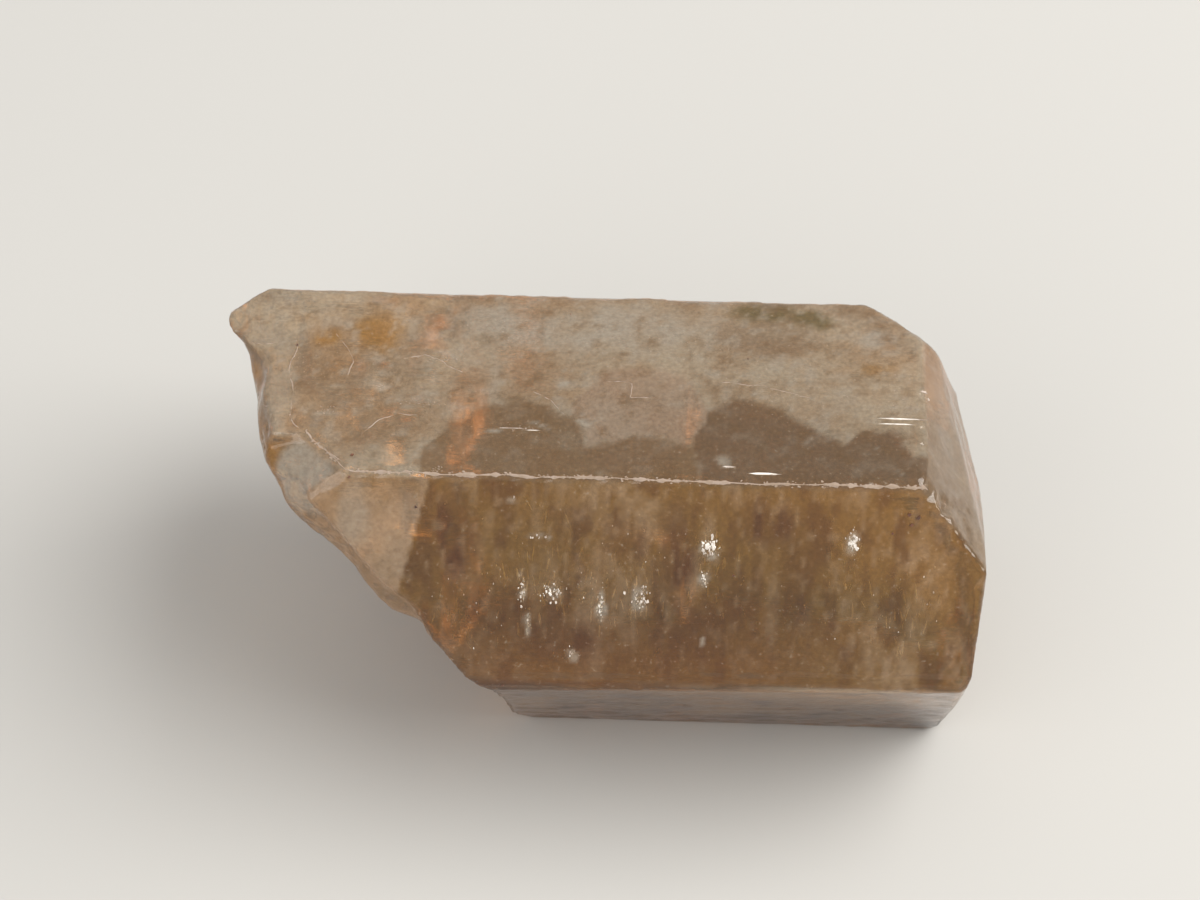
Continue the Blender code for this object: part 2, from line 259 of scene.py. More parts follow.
# Painted glints on the top face: bright white bars that stand for reflections; x, y, half length,
# half width
TOP_GLINTS = (
    (9.46, -1.05, 0.85, 0.035),
    (9.40, -1.27, 0.70, 0.035),
    (10.27, 0.15, 0.16, 0.06),
    (10.77, 0.02, 0.09, 0.06),
    (5.05, -3.44, 0.66, 0.05),
    (4.02, -3.20, 0.30, 0.05),
    (-2.90, -1.88, 0.55, 0.022),
    (-2.20, -1.94, 0.30, 0.018),
)
# Thin white cracks on the top face, as lines of x, y
TOP_CRACKS = (
    ((-8.75, 1.95), (-8.40, 1.30), (-8.20, 0.70), (-8.30, 0.10)),
    ((-9.95, -1.75), (-9.30, -2.35), (-8.60, -3.10), (-8.10, -3.45)),
    ((-7.65, -2.30), (-7.10, -1.60), (-6.50, -1.36), (-5.95, -1.40)),
    ((-11.75, 1.45), (-11.30, 1.35), (-10.70, 1.42)),
    ((-11.60, -0.20), (-11.20, -0.30), (-10.60, -0.22)),
    ((-11.45, -1.15), (-10.90, -1.20)),
    ((-6.60, 0.90), (-5.90, 1.10), (-5.20, 0.90), (-4.60, 0.40)),
    ((-2.30, -0.35), (-1.70, -0.70), (-1.25, -1.30)),
    ((-10.0, 1.30), (-10.15, 0.30), (-9.95, -0.80), (-10.0, -1.70)),
    ((0.10, 0.15), (0.90, 0.10), (0.85, -0.45), (1.60, -0.50)),
    ((3.80, 0.35), (5.10, 0.20), (6.60, -0.25)),
)
# Small dark inclusions: on the top face as x, y and on the front face as x, down, and their size
TOP_SPECKS = ((-10.0, 1.36, 0.07), (-7.85, -3.15, 0.09), (4.6, 1.3, 0.04), (-1.2, 3.0, 0.04))
FRONT_SPECKS = (
    (-7.90, 0.22, 0.07), (-5.80, 1.16, 0.08), (9.26, 1.60, 0.07), (9.75, 0.95, 0.12),
    (10.05, 1.05, 0.12), (9.85, 1.30, 0.10), (-3.0, 7.35, 0.06), (4.3, 3.2, 0.06),
)


# ---------------------------------------------------------------- places on the crystal


def on_top(x, y, depth=0.0):
    """A place on the top face, from the axis, in mm; depth goes down into the stone."""
    return AXIS + Vector((x, y, HALF_HEIGHT - depth))


def on_front(x, down, depth=0.0):
    """A place on the front face: down is measured from the ridge, depth into the stone."""
    return AXIS + RIDGE + Vector((x, 0.0, 0.0)) + DOWN_SLOPE * down - FRONT_NORMAL * depth


# ---------------------------------------------------------------- noise
# The last number of each call is the seed, so that every run gives the same crystal.


def lattice(i, j, k, seed):
    """A repeatable number from -1 to 1 for each corner of a grid."""
    mixed = i * 374761393 + j * 668265263 + k * 2147483647 + seed * 974634777
    mixed = (mixed ^ (mixed >> 13)) * 1274126177
    mixed = mixed ^ (mixed >> 16)
    return (mixed & 0xFFFF).astype(float) / 32767.5 - 1.0


def noise_at(points, size, seed=0):
    """Smooth noise from -1 to 1 at points, with features of a size."""
    scaled = points / np.asarray(size, float)
    cell = np.floor(scaled)
    t = scaled - cell
    t = t * t * t * (t * (t * 6.0 - 15.0) + 10.0)
    i, j, k = cell.astype(np.int64).T
    value = 0.0
    for a in (0, 1):
        for b in (0, 1):
            for c in (0, 1):
                share = np.abs(1 - a - t[:, 0]) * np.abs(1 - b - t[:, 1]) * np.abs(1 - c - t[:, 2])
                value = value + share * lattice(i + a, j + b, k + c, seed)
    return value


def rough_noise(points, size, layers, seed=0):
    """Noise with finer and weaker layers added."""
    size, total = np.asarray(size, float), 0.0
    for n in range(layers):
        total = total + noise_at(points, size * 0.5**n, seed + n) * 0.5**n
    return total


def step(low, high, values):
    """0 below low, 1 above high, and smooth between."""
    t = np.clip((values - low) / (high - low), 0.0, 1.0)
    return t * t * (3.0 - 2.0 * t)


# ---------------------------------------------------------------- meshes


def evaluated(ob):
    """The object's mesh with its modifiers applied."""
    graph = bpy.context.evaluated_depsgraph_get()
    return bpy.data.meshes.new_from_object(ob.evaluated_get(graph))


def apply_modifier(ob, kind, **values):
    """Adds a modifier, sets it and applies it."""
    modifier = ob.modifiers.new(kind.lower(), kind)
    for name, value in values.items():
        setattr(modifier, name, value)
    mesh = evaluated(ob)
    ob.modifiers.clear()
    old, ob.data = ob.data, mesh
    bpy.data.meshes.remove(old)
    mesh.name = ob.name


def places(mesh):
    """The vertices' coordinates as rows, in mm."""
    flat = np.empty(len(mesh.vertices) * 3, np.float32)
    mesh.vertices.foreach_get("co", flat)
    return flat.reshape(-1, 3).astype(float) / MM


def move(mesh, points):
    """Puts the vertices at rows of coordinates in mm."""
    mesh.vertices.foreach_set("co", (points * MM).astype(np.float32).ravel())
    mesh.update()


def directions(mesh):
    """The vertices' normals as rows."""
    flat = np.empty(len(mesh.vertices) * 3, np.float32)
    mesh.vertex_normals.foreach_get("vector", flat)
    return flat.reshape(-1, 3).astype(float)


def add(name, mesh):
    """A new object in the scene."""
    ob = bpy.data.objects.new(name, mesh)
    bpy.context.scene.collection.objects.link(ob)
    return ob


class Surface:
    """Finds places on the crystal's finished surface, in mm."""

    def __init__(self):
        body = bpy.data.objects.get("crystal_body")
        if body is None:
            raise RuntimeError("The crystal body has to be made first")
        self.tree = BVHTree.FromPolygons(
            places(body.data).tolist(), [tuple(p.vertices) for p in body.data.polygons])

    def nearest(self, place):
        """The nearest place on the surface and the way that it faces."""
        found, facing, _, _ = self.tree.find_nearest(place)
        return found, facing


class Shards:
    """Gathers small closed bodies in one mesh, in mm."""

    def __init__(self, seed):
        self.random = np.random.default_rng(seed)
        self.points = []
        self.faces = []

    def body(self, rings):
        """A closed body through rings that have as many corners each."""
        first, n = len(self.points), len(rings[0])
        for ring in rings:
            self.points += [tuple(p) for p in ring]
        for a in range(first, first + (len(rings) - 1) * n, n):
            self.faces += [(a + k, a + (k + 1) % n, a + n + (k + 1) % n, a + n + k)
                           for k in range(n)]
        self.faces.append(tuple(range(first + n - 1, first - 1, -1)))
        self.faces.append(tuple(range(len(self.points) - n, len(self.points))))

    def flake(self, centre, facing, along, length, width, thickness):
        """A thin flake with an uneven outline; length and width are halves."""
        along = (along - facing * along.dot(facing)).normalized()
        across = facing.cross(along)
        rim = []
        for k in range(6):
            angle = math.tau * (k + self.random.uniform(-0.3, 0.3)) / 6
            reach = self.random.uniform(0.6, 1.0)
            rim.append(along * (math.cos(angle) * length * reach)
                       + across * (math.sin(angle) * width * reach))
        half = facing * (thickness / 2)
        self.body([[centre + p - half for p in rim], [centre + p * 0.75 + half for p in rim]])

    def lip(self, line, facings, widths, rise, sunk):
        """A thin raised line with a ridge, pointed at both ends."""
        rings = []
        for n, (place, facing) in enumerate(zip(line, facings)):
            ahead = Vector(line[min(n + 1, len(line) - 1)]) - Vector(line[max(n - 1, 0)])
            across = facing.cross(ahead).normalized() * widths[n]
            share = min(1.0, widths[n] / max(widths))
            rings.append([place + across, place + facing * rise * share, place - across,
                          place - facing * sunk * share])
        self.body(rings)

    def tilted(self, facing, spread):
        """A direction turned away from facing by a random amount."""
        turned = facing + Vector(self.random.normal(0.0, spread, 3))
        return turned.normalized()

    def piece(self, name, material):
        """Makes the mesh, dresses it and rides it on the crystal."""
        mesh = bpy.data.meshes.new(name)
        mesh.from_pydata([tuple(c * MM for c in p) for p in self.points], [], self.faces)
        bm = bmesh.new()
        bm.from_mesh(mesh)
        bmesh.ops.recalc_face_normals(bm, faces=bm.faces)
        bm.to_mesh(mesh)
        bm.free()
        return dress(add(name, mesh), material)


def wavy(corners, spacing, sway, seed):
    """Points every spacing along a line through corners, swayed off it."""
    corners = np.array([tuple(c) for c in corners])
    steps = np.linalg.norm(np.diff(corners, axis=0), axis=1)
    reach = np.concatenate(([0.0], np.cumsum(steps)))
    at = np.linspace(0.0, reach[-1], max(int(reach[-1] / spacing), 3))
    line = np.column_stack([np.interp(at, reach, corners[:, k]) for k in range(3)])
    shift = np.column_stack([rough_noise(line + 9.0 * k, 0.8, 4, seed + 10 * k) for k in range(3)])
    return [Vector(p) for p in line + sway * shift]


def uneven_widths(count, width, seed, least=0.3):
    """Half widths along a line, zero at the ends."""
    at = np.column_stack([np.arange(count) * 0.31, np.zeros(count), np.zeros(count)])
    values = np.clip(0.6 + 0.9 * rough_noise(at, 1.0, 3, seed), least, 1.4) * width
    values[0] = values[-1] = 0.002
    return values.tolist()


def dress(ob, material):
    """Gives a piece its material and rides it on the crystal."""
    ob.data.materials.clear()
    ob.data.materials.append(material)
    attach(ob, BODY)
    return ob


# ---------------------------------------------------------------- node graphs


class Graph:
    """Short ways to wire a material."""

    def __init__(self, name):
        self.material = bpy.data.materials.new(name)
        self.material.use_nodes = True
        self.tree = self.material.node_tree
        self.shader = self.tree.nodes["Principled BSDF"]
        self.output = self.tree.nodes["Material Output"]
        coords = self.tree.nodes.new("ShaderNodeTexCoord")
        # Object coordinates in mm, measured from the prism's axis
        scaled = self.vector("MULTIPLY", coords.outputs["Object"], (1.0 / MM,) * 3)
        self.place = self.vector("SUBTRACT", scaled, tuple(AXIS))

    def node(self, kind, **settings):
        made = self.tree.nodes.new(kind)
        for name, value in settings.items():
            setattr(made, name, value)
        return made

    def feed(self, socket, value):
        if isinstance(value, bpy.types.NodeSocket):
            self.tree.links.new(value, socket)
        else:
            socket.default_value = value

    def vector(self, operation, *values):
        made = self.node("ShaderNodeVectorMath", operation=operation)
        if operation == "SCALE":
            self.feed(made.inputs["Vector"], values[0])
            self.feed(made.inputs["Scale"], values[1])
        else:
            for socket, value in zip(made.inputs, values):
                self.feed(socket, value)
        return made.outputs["Vector"]

    def ramp(self, value, low, high, start=0.0, end=1.0):
        """start below low, end above high, and smooth between."""
        made = self.node("ShaderNodeMapRange", interpolation_type="SMOOTHSTEP")
        for name, v in zip(("Value", "From Min", "From Max", "To Min", "To Max"),
                           (value, low, high, start, end)):
            self.feed(made.inputs[name], v)
        return made.outputs["Result"]

    def mix(self, share, first, second):
        """From the first colour to the second."""
        made = self.node("ShaderNodeMix", data_type="RGBA")
        self.feed(made.inputs[0], share)
        self.feed(made.inputs[6], first)
        self.feed(made.inputs[7], second)
        return made.outputs[2]

    def stretched(self, place, stretch):
        return self.vector("MULTIPLY", place, stretch)

    def noise(self, place, scale, detail, roughness):
        made = self.node("ShaderNodeTexNoise")
        self.feed(made.inputs["Vector"], place)
        self.feed(made.inputs["Scale"], scale)
        self.feed(made.inputs["Detail"], detail)
        self.feed(made.inputs["Roughness"], roughness)
        return made.outputs["Fac"]

    def bump(self, height, distance, strength):
        made = self.node("ShaderNodeBump")
        made.inputs["Strength"].default_value = strength
        made.inputs["Distance"].default_value = distance * MM
        self.feed(made.inputs["Height"], height)
        return made.outputs["Normal"]


# ---------------------------------------------------------------- what a user may change


def length(name, description, default):
    """A setting in metres."""
    return bpy.props.FloatProperty(
        name=name, description=description, default=default, min=0.0, unit="LENGTH", precision=5)


def colour(name, description, default):
    """A setting for a colour."""
    return bpy.props.FloatVectorProperty(
        name=name, description=description, default=default, size=3, min=0.0, max=1.0,
        subtype="COLOR")


class StoneSettings(bpy.types.PropertyGroup):
    """The crystal's body."""

    grain: length("Mesh grain", "Spacing of the body's mesh", 0.13 * MM)
    wear: length("Edge wear", "How deep the prism's edges are bruised", 0.07 * MM)
    wear_width: length("Wear width", "How far from an edge the bruises reach", 0.13 * MM)
    chipping: length("Chipping", "Depth of the grainy chips at the faceted end", 0.06 * MM)
    ripple: length("Fracture ripple", "Height of the ripples on broken surfaces", 0.035 * MM)
    body: colour("Stone", "Colour of the stone's faces", (0.84, 0.60, 0.36))
    haze: colour("Haze", "Colour of the pale, hazy zones", (1.0, 0.84, 0.60))
    white: colour("White", "Colour of crushed, whitish spots", (1.0, 0.90, 0.72))
    # Painted highlight on the small facet beside the break.
    pale: colour("Pale facet", "Colour of the small facet beside the break", (1.0, 0.93, 0.76))
    # Brown, grey and rose also paint shade on the top face: brown the left lobe, grey the right
    # lobes, rose the lighter middle zone.
    brown: colour("Brown", "Colour of the brown zones", (0.42, 0.23, 0.07))
    rose: colour("Rose", "Colour of the pinkish zone in the middle", (0.76, 0.50, 0.33))
    grey: colour("Grey brown", "Colour of the darker lobes", (0.39, 0.22, 0.09))
    front: colour("Front", "Colour of the front face", (0.52, 0.29, 0.06))
    streak: colour("Front veils", "Colour of pale veils in the front", (0.86, 0.61, 0.34))
    dark: colour("Dark streaks", "Colour of dark streaks in the front", (0.24, 0.10, 0.02))
    # The clear corner by the break is painted paler pink for the light that shows through the
    # stone there.
    lit_clear_pink: colour("Pinkish", "Colour of the clear corner beside the break", (1.0, 0.74, 0.48))
    # Painted shade: the hidden lower faces are darkened for the shade under the crystal, which the
    # top and front show through the stone.
    hidden_face_shade: colour("Hidden faces", "Colour of the lower faces", (0.30, 0.17, 0.07))
    # Painted shade on the lower front face, which faces the floor, and on the underside of the
    # break.
    under_shade: colour("Lower front", "Colour of the lower front face", (0.09, 0.038, 0.012))
    stain: colour("Iron stain", "Colour of the iron-stained spots", (0.76, 0.38, 0.05))
    break_colour: colour("Break", "Colour of the broken end", (0.58, 0.39, 0.18))
    green: colour("Green", "Colour of the greenish streak", (0.32, 0.25, 0.08))
    end: colour("End", "Colour of the faceted end", (0.80, 0.62, 0.44))
    depth_colour: colour("Depth colour", "Colour that light takes inside", (0.71, 0.51, 0.27))
    density: bpy.props.FloatProperty(
        name="Depth density", description="How fast light takes that colour, per metre",
        default=130.0, min=0.0)
    clearness: bpy.props.FloatProperty(
        name="Clearness", description="Share of the light that passes the surface",
        default=0.79, min=0.0, max=1.0, subtype="FACTOR")
    ior: bpy.props.FloatProperty(
        name="Refraction", description="Index of refraction", default=APATITE_IOR, min=1.0)
    roughness: bpy.props.FloatProperty(
        name="Roughness", description="Roughness of the polished faces", default=0.12,
        min=0.0, max=1.0, subtype="FACTOR")


class MarkSettings(bpy.types.PropertyGroup):
    """Bruises, cracks and inclusions."""

    crushed: colour("Crushed stone", "Colour of bruised edges and cracks", (0.37, 0.285, 0.23))
    stain: colour("Stained", "Darker colour within bruises", (0.30, 0.22, 0.16))
    # The brightest colour: the painted glints are made of it, and the sparkles and veils take it
    # as their lighter tone.
    glint: colour("Glint", "Colour of the brightest flakes", (0.97, 0.92, 0.86))
    veil: colour("Veil", "Colour of the veils inside", (0.34, 0.25, 0.165))
    speck: colour("Speck", "Colour of the dark inclusions", (0.06, 0.03, 0.02))
    speck_rim: colour("Speck rim", "Redder colour within them", (0.16, 0.06, 0.03))
    ridge_width: length("Ridge bruise", "Half width of the bruised line on the ridge", 0.060 * MM)
    crack_width: length("Crack width", "Half width of a thin crack", 0.014 * MM)


class StageSettings(bpy.types.PropertyGroup):
    """Floor, light and camera."""

    floor_radius: length("Floor radius", "Radius of the round floor", 0.9)
    floor: colour("Floor", "Colour of the floor", (0.52, 0.516, 0.503))
    light: bpy.props.FloatProperty(
        name="Room light", description="Strength of the even light from all sides", default=0.60)
    key: bpy.props.FloatProperty(
        name="Main light", description="Power of the large light on the right, in watts",
        default=1.7)
    fill: bpy.props.FloatProperty(
        name="Fill light", description="Power of the light on the left, in watts",
        default=0.5)
    azimuth: bpy.props.FloatProperty(
        name="Azimuth", description="Camera's turn about the crystal", subtype="ANGLE",
        default=math.radians(2.1))
    elevation: bpy.props.FloatProperty(
        name="Elevation", description="Camera's angle above the floor", subtype="ANGLE",
        default=math.radians(51.0))
    distance: length("Distance", "From the camera to the crystal's axis", 117.43 * MM)
    aside: length("Aside", "How far the camera stands left of the axis", 0.134 * MM)
    above: length("Above", "How far the camera stands above the axis", 2.063 * MM)
    lens: bpy.props.FloatProperty(
        name="Lens", description="Focal length in millimetres", default=105.0)


# ---------------------------------------------------------------- the crystal's body


def sharp_edges(mesh):
    """Points along the solid's long sharp edges, in mm, as a search tree."""
    bm = bmesh.new()
    bm.from_mesh(mesh)
    bmesh.ops.remove_doubles(bm, verts=bm.verts, dist=0.0005 * MM)
    found = []
    for edge in bm.edges:
        if len(edge.link_faces) == 2 and edge.calc_face_angle() > SHARP_ANGLE:
            a, b = (v.co / MM for v in edge.verts)
            count = max(int((b - a).length / SHARP_SPACING), 1)
            found += [a.lerp(b, n / count) for n in range(count + 1)]
    bm.free()
    tree = kdtree.KDTree(len(found))
    for n, point in enumerate(found):
        tree.insert(point, n)
    tree.balance()
    return tree


def flat_share(points, normals):
    """1 where a vertex lies on one of the prism's flat faces, 0 on broken surfaces."""
    level = np.abs(normals[:, 0]) < FLAT_LEAN
    turned = np.degrees(np.arctan2(normals[:, 2], normals[:, 1]))
    off = np.abs(turned % 60.0 - 30.0)
    return np.where(level & (off < FLAT_TURN), 1.0, 0.0)


def wear_edges(mesh, tree, settings):
    """Bruises the edges inward and roughens the broken surfaces."""
    points, normals = places(mesh), directions(mesh)
    near = np.array([tree.find(p)[2] for p in points.tolist()])
    width = settings.wear_width / MM
    patch = 0.5 + 0.8 * noise_at(points, 1.6, 11) + 0.6 * noise_at(points, 0.35, 12)
    depth = np.clip(patch, 0.0, 1.3) * np.exp(-((near / width) ** 2)) * settings.wear / MM
    broken = 1.0 - flat_share(points, normals)
    fan = np.hypot(points[:, 1] - RIPPLE_CENTRE[0], points[:, 2] - RIPPLE_CENTRE[1])
    ripples = np.sin(fan * math.tau / RIPPLE_SPACING + 2.0 * noise_at(points, 2.0, 21))
    ripples = 0.4 * ripples + rough_noise(points, 0.5, 3, 31)
    away = step(0.05, 0.5, near)
    depth += broken * away * (0.5 + 0.5 * np.clip(ripples, -1, 1)) * settings.ripple / MM
    corner = np.linalg.norm(points - np.array(AXIS + CHIPPED_CORNER), axis=1)
    grains = 0.5 + 0.5 * rough_noise(points, 0.40, 2, 41)
    depth += step(1.7, 0.8, corner) * np.clip(grains, 0.0, 1.0) * settings.chipping / MM
    move(mesh, points - normals * depth[:, None])


def blend(colours, other, share):
    """Moves each vertex's colour towards another by its share."""
    share = np.clip(share, 0.0, 1.0)[:, None]
    return colours * (1.0 - share) + np.asarray(other[:3]) * share


def inside(flat, zones, soft):
    """1 within ellipses on a face, each given as x, y and its half sizes, and 0 outside."""
    share = np.zeros(len(flat))
    for x, y, half_x, half_y in zones:
        reach = np.hypot((flat[:, 0] - x) / half_x, (flat[:, 1] - y) / half_y)
        share = np.maximum(share, 1.0 - step(1.0 - soft, 1.0 + soft, reach))
    return share


def outline(share):
    """1 along the edge of a zone, where its share passes through a half."""
    return 4.0 * share * (1.0 - share)


def shaken(points, size, amount, seed):
    """The places, wandering off by up to the amount."""
    return points + amount * np.column_stack(
        [rough_noise(points, size, 2, seed + 20 * k) for k in range(3)])


def top_colours(points, s):
    """Hazy top face with lobes of painted shade beside the ridge, stains and a greenish streak."""
    flat = shaken(points, 1.1, 0.24, 100)[:, :2]
    clouds = rough_noise(points, (2.2, 1.7, 2.0), 4, 160)
    mottles = rough_noise(points, (0.70, 0.60, 0.8), 3, 170)
    made = blend(np.tile(s.body[:3], (len(points), 1)), s.haze, 0.50 + 0.85 * clouds)
    made = blend(made, s.white, 0.9 * inside(flat, HAZE_CLOUDS, 0.5) * (0.8 + 0.6 * mottles))
    made = blend(made, s.brown, 0.45 * inside(flat, LEFT_SHADE, 0.4) * (0.7 + 0.8 * mottles))
    made = blend(made, s.haze, 0.9 * step(BAND_END + 0.08, BAND_END - 0.08, flat[:, 0]))
    beside = step(STEP_EDGE - 0.06, STEP_EDGE + 0.06, flat[:, 0])
    plain = np.ones(len(points))
    # Painted shade: the lobes and the middle zone stand for the shaded floor under the crystal
    # seen through the stone, each with a paler rim.
    for zones, tone, much, within in (
            (MIDDLE_HALF_SHADOW, s.rose, 0.50, 1.0 - beside), (LEFT_SHADOW_LOBE, s.brown, 0.75, 1.0 - beside),
            (RIGHT_SHADOW_LOBES, s.grey, 0.90, beside)):
        share = inside(flat, zones, 0.07) * within
        made = blend(made, tone, much * share)
        made = blend(made, s.haze, 0.45 * outline(share) * (0.6 + mottles))
        plain = np.minimum(plain, 1.0 - 0.7 * share)
    made = blend(made, s.grey, 0.45 * inside(flat, GREEN_SHADE, 0.4))
    made = blend(made, s.green, 0.9 * inside(flat, GREEN_STREAK, 0.45))
    made = blend(made, s.stain, 0.6 * inside(flat, YELLOW_PATCH, 0.5))
    made = blend(made, s.stain, 0.85 * inside(flat, IRON_STAINS, 0.6))
    made = blend(made, s.white, 0.48 * plain * step(0.30, 1.0, mottles))
    fine = rough_noise(points, (0.30, 0.28, 0.4), 2, 180)
    made = blend(made, s.white, 0.52 * plain * step(0.25, 0.85, fine))
    made = blend(made, s.brown, 0.42 * step(0.25, 0.85, -fine))
    healed = np.abs(rough_noise(points, (1.5, 0.9, 1.0), 2, 190))
    made = blend(made, s.white, 0.40 * step(0.06, 0.0, healed) * step(-0.1, 0.5, clouds))
    made = blend(made, s.brown, 0.42 * step(0.30, 1.0, -mottles))
    return blend(made, s.white, 0.85 * inside(flat, WHITE_SMUDGES, 0.5) * (0.7 + mottles))


def front_colours(points, s):
    """Brown front face with streaky veils, a clear pinkish corner painted paler for the light seen
    through it, and growth lines.
    """
    across = points[:, 0]
    down = (points - np.array(RIDGE)) @ np.array(DOWN_SLOPE)
    flat = np.column_stack((across, down, 0.0 * down))
    streaks = rough_noise(flat, (0.50, 1.60, 1.0), 4, 200)
    patches = rough_noise(flat, (2.4, 3.0, 1.0), 3, 210)
    fine = rough_noise(flat, (0.17, 0.45, 1.0), 2, 220)
    near = shaken(flat, 0.7, 0.12, 230)
    made = np.tile(s.front[:3], (len(points), 1))
    made = blend(made, s.streak, 0.90 * streaks * (0.6 + patches))
    made = blend(made, s.streak, 0.50 * inside(near, PALE_VEILS, 0.6) * (0.7 + fine))
    made = blend(made, s.dark, 0.75 * inside(near, DARK_PATCHES, 0.6) * (0.8 + streaks))
    made = blend(made, s.dark, 0.62 * step(0.15, 0.95, -streaks))
    made = blend(made, s.streak, 0.45 * step(0.30, 1.0, fine))
    made = blend(made, s.dark, 0.28 * step(0.35, 1.1, -fine))
    made = blend(made, s.dark, 0.58 * step(2.5, 6.5, down) * step(10.0, 3.5, across))
    made = blend(made, s.white, 0.85 * inside(near, FRONT_SMUDGES, 0.4) * (0.75 + fine))
    # Painted light: the clearer corner by the break is painted paler pink where light shows
    # through the stone.
    corner = step(0.07, -0.03, across - BORDER_HEAD - BORDER_SLOPE * down)
    clear = np.tile(s.lit_clear_pink[:3], (len(points), 1))
    clear = blend(clear, s.front, 0.25 + 0.5 * patches + 0.2 * fine)
    clear = blend(clear, s.white, 0.6 * inside(near, PALE_WEDGE, 0.4))
    made = made * (1.0 - corner[:, None]) + clear * corner[:, None]
    lines = noise_at(flat, (4.0, 0.17, 1.0), 240)
    band = step(*LEDGE_COLOURS, down)
    made = blend(made, s.dark, 0.85 * band * (0.7 - 0.9 * lines))
    pale = step(3.0, 7.0, across + 1.5 * noise_at(flat, (1.5, 1.0, 1.0), 250))
    return blend(made, s.haze, band * pale * step(0.1, 0.5, lines))


def stone_colours(points, s):
    """The stone's colour at each vertex, by the face that it lies on, with painted shade on the
    hidden lower faces and a painted highlight on the facet beside the break.
    """
    points = points - np.array(AXIS)
    x, z = points[:, 0], points[:, 2]
    mottles = rough_noise(points, 1.1, 4, 300)
    fine = rough_noise(points, (0.6, 0.3, 0.3), 3, 310)
    made = blend(np.tile(s.body[:3], (len(points), 1)), s.brown, 0.4 + 0.6 * mottles)
    made = blend(made, s.break_colour, step(*BREAK_COLOURS, x) * (0.75 + 0.4 * mottles))
    made = blend(made, s.stain, 0.9 * step(*STAINED_BREAK, x) * step(6.3, 5.8, z))
    # Painted shade: the underside of the broken end is darkened so that light does not glow
    # through it.
    made = blend(made, s.hidden_face_shade, 0.95 * step(*BREAK_COLOURS, x) * step(2.0, -1.5, z))
    made = blend(made, s.under_shade, 0.70 * step(*LOWER_BREAK_COLOURS, x) * step(0.0, -3.0, z))
    made = blend(made, s.end, step(*END_COLOURS, x) * (0.75 + 0.4 * mottles))
    made = blend(made, s.white, 0.30 * step(0.3, 1.2, fine))
    # Painted shade on the resting face and the lower rear face, which show through the stone.
    made = blend(made, s.hidden_face_shade, step(*RESTING_COLOURS, -z))
    rear = step(*LOWER_REAR_COLOURS, points @ np.array(LOWER_REAR_NORMAL))
    made = blend(made, s.hidden_face_shade, rear * step(0.3, -0.2, z))
    # Painted shade on the lower front face, which faces the floor.
    lower = step(*LOWER_FRONT_COLOURS, points @ np.array(LOWER_FRONT_NORMAL))
    made = blend(made, s.under_shade, lower * (0.75 - 0.3 * mottles))
    # Painted highlight on the small facet beside the break.
    facet = np.linalg.norm(points - np.array(HIGHLIGHT_FACET), axis=1)
    made = blend(made, s.pale, step(1.35, 0.95, facet + 0.15 * mottles))
    front = step(*FACE_COLOURS, points @ np.array(FRONT_NORMAL))[:, None]
    made = made * (1.0 - front) + front_colours(points, s) * front
    top = step(*FACE_COLOURS, z)[:, None]
    made = made * (1.0 - top) + top_colours(points, s) * top
    grains = rough_noise(points, 0.25, 3, 320)
    corner = step(1.9, 1.1, np.linalg.norm(points - np.array(CHIPPED_CORNER), axis=1))
    made = blend(made, s.brown, 0.7 * corner * (0.5 + grains))
    made = blend(made, s.white, 0.15 * corner * step(0.2, 0.7, grains))
    return np.clip(made, 0.0, 1.0)


def paint(mesh, s):
    """Keeps the stone's colours with the mesh."""
    colours = np.ones((len(mesh.vertices), 4), np.float32)
    colours[:, :3] = stone_colours(places(mesh), s)
    layer = mesh.color_attributes.new(name=COLOUR_LAYER, type="FLOAT_COLOR", domain="POINT")
    layer.data.foreach_set("color", colours.ravel())


class Shades:
    """A settings group's colours, ready for a material."""

    def __init__(self, settings):
        for name in settings.bl_rna.properties.keys():
            value = getattr(settings, name)
            if isinstance(value, Color):
                setattr(self, name, (*value, 1.0))


def stone_material(settings):
    """See-through stone with the colours of its mesh, fine grains and growth lines."""
    g = Graph("clear_apatite")
    painted = g.node("ShaderNodeVertexColor", layer_name=COLOUR_LAYER)
    grains = g.noise(g.place, 7.0, 3.0, 0.65)
    shaded = g.vector("SCALE", painted.outputs["Color"], g.ramp(grains, 0.3, 0.7, 0.82, 1.13))
    g.feed(g.shader.inputs["Base Color"], g.mix(
        g.ramp(grains, 0.62, 0.72, 0.0, 0.50), shaded, (*settings.white, 1.0)))
    g.shader.inputs["Roughness"].default_value = settings.roughness
    g.shader.inputs["IOR"].default_value = settings.ior
    g.shader.inputs["Transmission Weight"].default_value = settings.clearness
    lines = g.noise(g.stretched(g.place, (0.06, 1.0, 1.0)), 5.0, 2.0, 0.7)
    g.feed(g.shader.inputs["Normal"], g.bump(lines, 0.02, 0.5))
    inside_stone = g.node("ShaderNodeVolumeAbsorption")
    inside_stone.inputs["Color"].default_value = (*settings.depth_colour, 1.0)
    inside_stone.inputs["Density"].default_value = settings.density
    g.tree.links.new(inside_stone.outputs[0], g.output.inputs["Volume"])
    return g.material


class APATITE_OT_body(bpy.types.Operator):
    """Makes the crystal's body from its solid"""

    bl_idname = "apatite.body"
    bl_label = "Crystal body"

    def execute(self, context):
        settings = context.scene.apatite_stone
        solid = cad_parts[NODE]
        ob = add("crystal_body", solid.data.copy())
        tree = sharp_edges(solid.data)
        apply_modifier(ob, "REMESH", mode="VOXEL", voxel_size=settings.grain)
        wear_edges(ob.data, tree, settings)
        ob.data.shade_smooth()
        apply_modifier(ob, "WEIGHTED_NORMAL", weight=100)
        paint(ob.data, Shades(settings))
        dress(ob, stone_material(settings))
        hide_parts(NODE)
        return {"FINISHED"}


# ---------------------------------------------------------------- bruises and cracks


